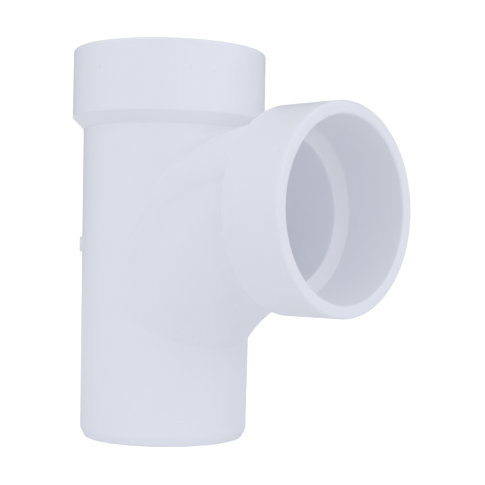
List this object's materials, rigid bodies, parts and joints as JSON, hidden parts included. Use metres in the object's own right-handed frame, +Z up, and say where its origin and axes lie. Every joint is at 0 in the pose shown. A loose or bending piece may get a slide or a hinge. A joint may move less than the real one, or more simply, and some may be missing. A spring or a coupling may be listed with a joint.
{
  "type": "pvc tee fitting",
  "caption": "White PVC drain tee: straight run with a pipe socket above and a plain spigot below, and a side branch socket that sweeps down into the run.",
  "frame": {"origin": "centre of the spigot's end face, on the run's axis", "axes": "+Z up the run, from the spigot to the top socket; +X along the branch, out of its socket; the plane y = 0 holds both axes"},
  "size_m": [0.1733, 0.1024, 0.2038],
  "materials": {
    "white_pvc": "semi-gloss injection-moulded rigid PVC, cool white"
  },
  "bodies": {
    "root": {"top_hub": "white_pvc", "branch_hub": "white_pvc", "run_barrel": "white_pvc", "branch_sweep": "white_pvc", "spigot": "white_pvc"}
  },
  "joints": []
}
